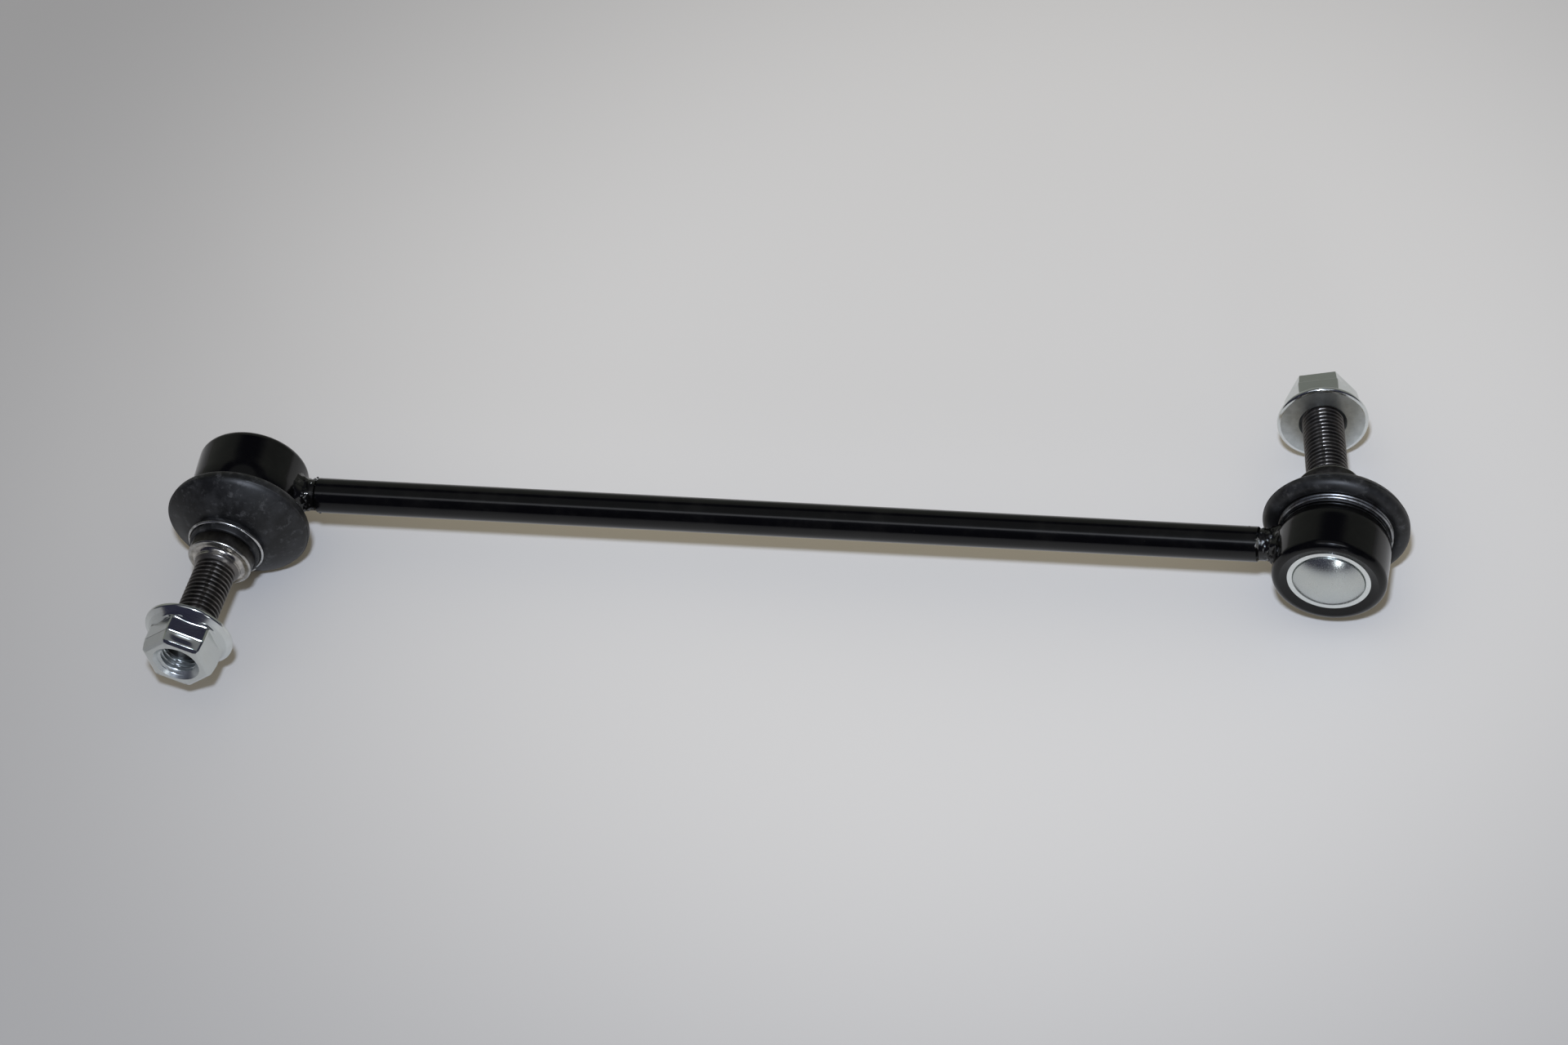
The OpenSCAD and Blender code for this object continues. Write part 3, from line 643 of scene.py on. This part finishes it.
def make_weld(side, bead_finish, drop_finish):
    """A lumpy fillet round the rod's spigot, with drops of spatter beside it."""
    place = rod_end_frame(side)
    rng = random.Random(ENDS[side]["seed"])
    count, steps = 72, 18
    to_joint = ENDS[side]["offset"]
    trim = GROOVE_BOTTOM - WELD_ROOM + to_joint
    offset = Vector((10.0 * ENDS[side]["seed"], 0, 0))
    end_x = -HOUSING_R - SPIGOT_LEN - 0.5

    def bead_radius(t, a):
        """Radius of the bead at an angle, from the housing at 0 to the rod at 1."""
        flare = WELD_LEG * max(0.0, 1 - t / 0.5) ** 2
        wave = noise.noise(Vector((2.2 * math.cos(a), 2.2 * math.sin(a), 3.0 * t)) + offset)
        fine = noise.noise(Vector((7 * math.cos(a), 7 * math.sin(a), 8.0 * t)) - offset)
        rough = (WELD_LUMPS * wave + WELD_RIPPLES * fine) * math.sin(math.pi * min(1, t + 0.25))
        r = max(SPIGOT_R + WELD_SKIRT + flare + rough, SPIGOT_R + 0.03)
        return min(r, trim / math.cos(a)) if math.cos(a) > 0.1 else r

    def bead_ring(t, radius):
        ring = []
        for j in range(count):
            a = 2 * math.pi * j / count
            y, z = radius(t, a) * math.cos(a), radius(t, a) * math.sin(a)
            wall = housing_wall_x(y - to_joint, z) + WELD_SINK
            ring.append(place @ Vector((wall + (end_x - wall) * t, y, z)))
        return ring

    outer = [bead_ring(i / steps, bead_radius) for i in range(steps + 1)]
    inner = [bead_ring(t, lambda t, a: SPIGOT_R - 0.15) for t in (1.0, 0.0)]
    weld = add_piece(f"{side}_weld_bead", skin(outer + inner, closed=True), [bead_finish], "link", 60)
    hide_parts(f"{side}_weld")

    drops = bmesh.new()
    for _ in range(SPATTER_DROPS):
        a = math.radians(rng.uniform(20, 160) if rng.random() < 0.7 else rng.uniform(0, 360))
        x = -HOUSING_R - rng.uniform(0.8, 7.5)
        r_here = SPIGOT_R + 0.6 if x > -HOUSING_R - SPIGOT_LEN - 0.4 else ROD_R
        size = rng.uniform(0.15, 0.36)
        y, z = r_here * math.cos(a), r_here * math.sin(a)
        if y > 4.0:
            continue
        at = place @ Matrix.Translation((x, y, z)) @ Matrix.Diagonal((size * 1.2, size, size * 0.8, 1))
        bmesh.ops.create_icosphere(drops, subdivisions=2, radius=1.0, matrix=at)
    add_piece(f"{side}_weld_drops", drops, [drop_finish], "link", 180)


# The floor, the lights and the camera

def make_stage():
    """The pale table under the link, with painted shade: its colour darkens away from a painted pool of light
    in its middle.
    """
    floor = Finish("table_top", Specular_IOR_Level=0.25)
    grain = floor.cloud(1.2, 3.0)
    broad = floor.cloud(320.0, 2.0)
    scuff = floor.cloud(2.6, 3.0).fade(0.74, 0.80) * floor.cloud(40.0, 2.0).fade(0.55, 0.65)
    pale = floor.mix(broad, (0.630, 0.628, 0.630), (0.645, 0.637, 0.628))
    # painted shade: the table's colour darkens away from a spot near the link, standing in for the falloff of
    # the lamp's light
    painted_light_falloff = floor.mix(floor.near((0.06, 0.07, 0)).fade(110, 375), pale, (0.360, 0.360, 0.368))
    floor.set(Base_Color=floor.mix(scuff * 0.4, painted_light_falloff, (0.42, 0.41, 0.40)), Roughness=0.5 + 0.1 * grain)
    made = bmesh.new()
    bmesh.ops.create_grid(made, x_segments=8, y_segments=8, size=6.0)
    mesh = bpy.data.meshes.new("table_top")
    made.to_mesh(mesh)
    made.free()
    mesh.materials.append(floor.material)
    table = bpy.data.objects.new("table_top", mesh)
    table.location.z = FLOOR_Z * MM
    bpy.context.scene.collection.objects.link(table)


def add_lamp(name, place, aim, size, watts, tint):
    lamp = bpy.data.lights.new(name, "AREA")
    lamp.shape = "DISK"
    lamp.size = size
    lamp.energy = watts
    lamp.color = tint
    holder = bpy.data.objects.new(name, lamp)
    holder.location = place
    holder.rotation_mode = "QUATERNION"
    holder.rotation_quaternion = (Vector(aim) - Vector(place)).to_track_quat("-Z", "Y")
    bpy.context.scene.collection.objects.link(holder)


def make_lights():
    """A cool lamp over the camera, a low window, and a warm room."""
    add_lamp("lamp_over_camera", (0.30, -1.02, 1.735), (0, 0, 0), 0.16, 33, (0.76, 0.84, 1.0))
    add_lamp("low_window", (0.75, -2.1, 0.62), (0, 0, 0), 0.35, 3, (0.92, 0.96, 1.0))
    world = bpy.data.worlds.new("room")
    world.use_nodes = True
    room = Nodes(world.node_tree)
    fill = room.node("ShaderNodeBackground", None, {"Color": (1.0, 0.89, 0.68, 1), "Strength": 0.46})
    # glossy faces mirror a dark room: a pale wall behind the link, a grey ceiling and a strip of light
    way = room.node("ShaderNodeTexCoord", out="Generated")
    back, height = room.dot(way, (0, 1, 0)), room.dot(way, (0, 0, 1))
    side = room.dot(way, (1, 0, 0))
    wall = back.fade(0.1, 0.4) * (1.0 - height.fade(0.64, 0.75))
    strip = height.fade(0.79, 0.83) * (1.0 - height.fade(0.88, 0.92)) * (1.0 - back.fade(-0.25, -0.1))
    strip = strip * side.fade(-0.42, -0.2) * (1.0 - side.fade(0.5, 0.72))
    dark_room = room.mix(wall, (0.022, 0.023, 0.042), (0.21, 0.22, 0.20))
    ceiling = room.mix(height.fade(0.87, 0.92), dark_room, (0.20, 0.205, 0.21))
    mirrored = room.node("ShaderNodeBackground", None, {"Color": room.mix(strip, ceiling, (1.6, 1.65, 1.75))})
    glossy = room.node("ShaderNodeLightPath", out="Is Glossy Ray")
    both = room.node("ShaderNodeMixShader", None, {0: glossy, 1: fill, 2: mirrored})
    room.feed(world.node_tree.nodes["World Output"].inputs["Surface"], both)
    world.node_tree.nodes.remove(world.node_tree.nodes["Background"])
    bpy.context.scene.world = world


def make_camera():
    """The camera fitted to the photograph."""
    view = bpy.data.cameras.new("photo_view")
    view.sensor_width = 36.0
    view.lens = 140.625
    view.clip_start, view.clip_end = 0.05, 50.0
    camera = bpy.data.objects.new("photo_view", view)
    right = Vector((0.97874406, 0.16761869, -0.11816958))
    up = Vector((-0.05125481, 0.75783193, 0.65043348))
    back = Vector((0.19857749, -0.63055114, 0.75031476))
    turn = Matrix((right, up, back)).transposed().to_4x4()
    camera.matrix_world = Matrix.Translation((0.345272, -1.094273, 1.300778)) @ turn
    bpy.context.scene.collection.objects.link(camera)
    bpy.context.scene.camera = camera


def give_finish(node, finish, edge=0.0):
    """Puts a finish on a piece of the part and breaks its sharp edges by that many millimetres."""
    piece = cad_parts[node]
    for i in range(len(piece.material_slots)):
        piece.material_slots[i].material = finish
    if edge:
        broken = piece.modifiers.new("broken_edges", "BEVEL")
        broken.width = edge * MM
        broken.segments = 2
        broken.angle_limit = math.radians(25)


def make_link():
    """Every piece of the link with its finish."""
    coat = black_dip_coat()
    rubber = boot_rubber()
    clamp_wire = spring_wire("clamp_wire", (0.34, 0.35, 0.36), (0.17, 0.165, 0.16), 0.30)
    lip_wire = spring_wire("lip_wire", (0.62, 0.62, 0.62), (0.30, 0.30, 0.29), 0.16)
    acetal = seat_plastic()
    bead, drop = weld_metal(), spatter_metal()
    give_finish("link_rod", coat)
    for side in ENDS:
        place = stud_frame(side)
        ball = place @ Vector((0, 0, 0))
        along = (place @ Vector((0, 0, 1)) - ball).normalized()
        housing_axis = (housing_frame(side) @ Vector((0, 0, 1)) - ball).normalized()
        steels = [turned_steel(f"{side}_{name}", ball, along, dark, bright, roughness)
                  for name, dark, bright, roughness in STUD_STEELS]
        thread = phosphate_thread(f"{side}_thread_phosphate", ball, along)
        nut_zinc = zinc_plate(f"{side}_nut_zinc", ball, along, *NUT_ZINC)
        tapped = turned_steel(f"{side}_tapped_thread", ball, along, *TAPPED_STEEL)
        cover_zinc = zinc_plate(f"{side}_cover_zinc", ball, housing_axis, *COVER_ZINC)
        give_finish(f"{side}_housing", coat)
        give_finish(f"{side}_seat", acetal)
        give_finish(f"{side}_cover", cover_zinc, 0.08)
        make_stud(side, [*steels, thread])
        make_nut(side, [nut_zinc, tapped])
        make_boot(side, rubber)
        make_wire_rings(side, clamp_wire, lip_wire)
        make_weld(side, bead, drop)


make_camera()
make_link()
make_stage()
make_lights()
bpy.context.scene.view_settings.view_transform = "Standard"
